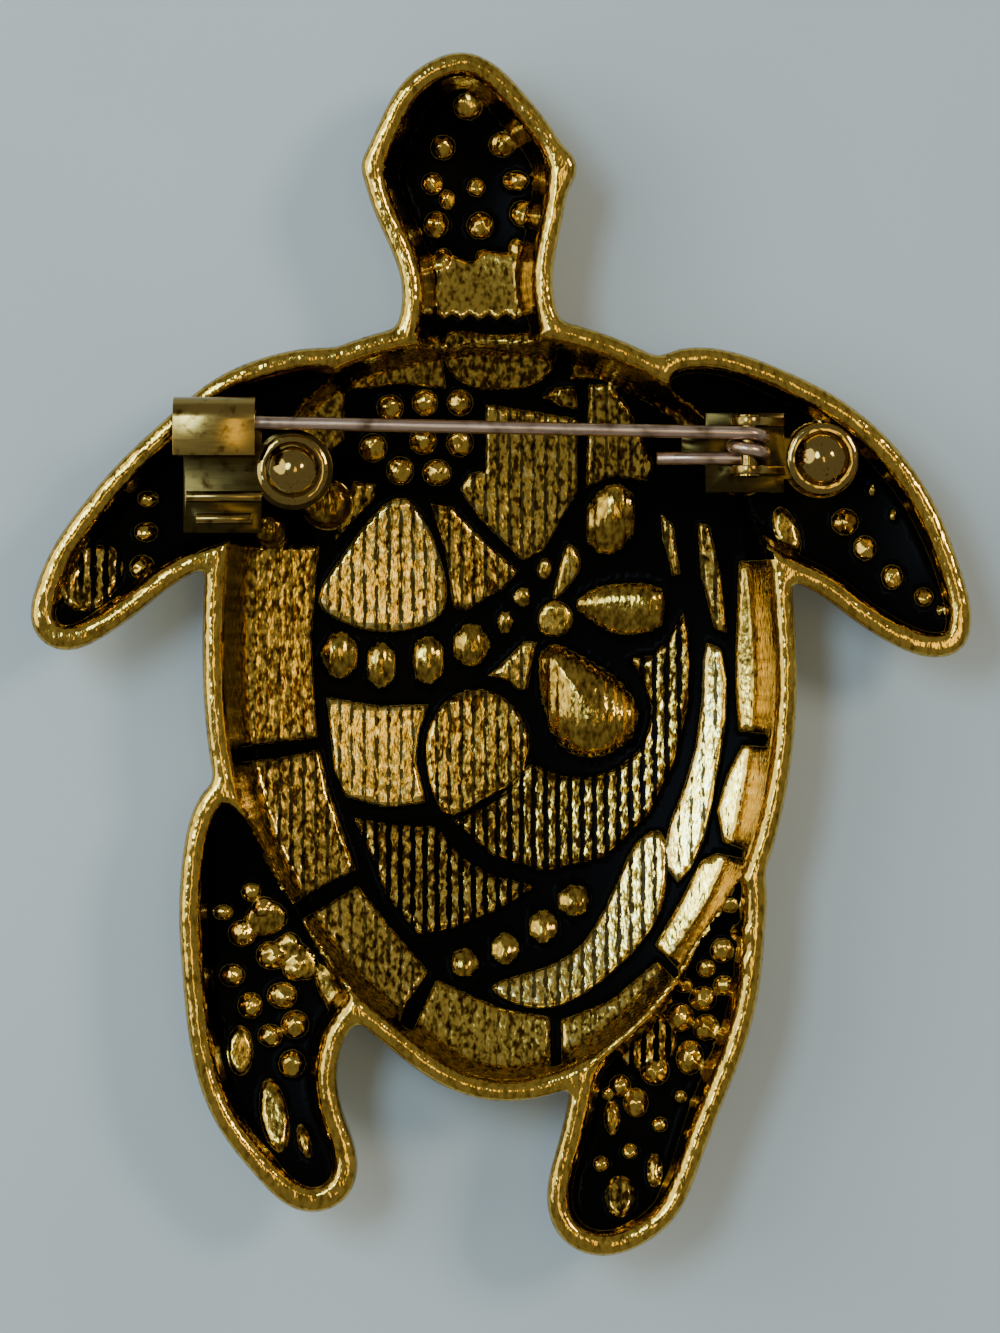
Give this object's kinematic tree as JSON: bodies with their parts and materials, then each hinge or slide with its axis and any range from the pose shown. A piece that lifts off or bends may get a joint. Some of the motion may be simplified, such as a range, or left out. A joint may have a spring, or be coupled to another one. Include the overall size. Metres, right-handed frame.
{
  "type": "turtle brooch",
  "caption": "Hollow cast turtle brooch with relief inside its open back, a riveted hood catch and a hinged pin stem.",
  "frame": {"origin": "under the middle of the brooch's bounding box, at the height of the crown that it rests on", "axes": "+Y towards the turtle's head, +Z out of the open back, +X to the right as the back is seen"},
  "size_m": [0.0445, 0.0569, 0.0089],
  "materials": {
    "antique_gold_casting": "cast zinc alloy, antique-gold plated, black lacquer in the recesses",
    "gold_plated_sheet": "pressed sheet, gold plated",
    "gold_plated_rivet": "headed rivet, gold plated",
    "drawn_steel_wire": "drawn spring wire"
  },
  "bodies": {
    "brooch": {"casting": "antique_gold_casting", "catch_plate": "gold_plated_sheet", "hinge_plate": "gold_plated_sheet", "hinge_axle": "gold_plated_rivet", "catch_rivet": "gold_plated_rivet", "hinge_rivet": "gold_plated_rivet"},
    "pin": {"pin_stem": "drawn_steel_wire"}
  },
  "joints": [
    {"name": "pin_swing", "type": "hinge", "parent": "brooch", "child": "pin", "pos_m": [0.01168, 0.00982, 0.00699], "axis": [0, 1, 0], "range_deg": [0, 100]}
  ]
}
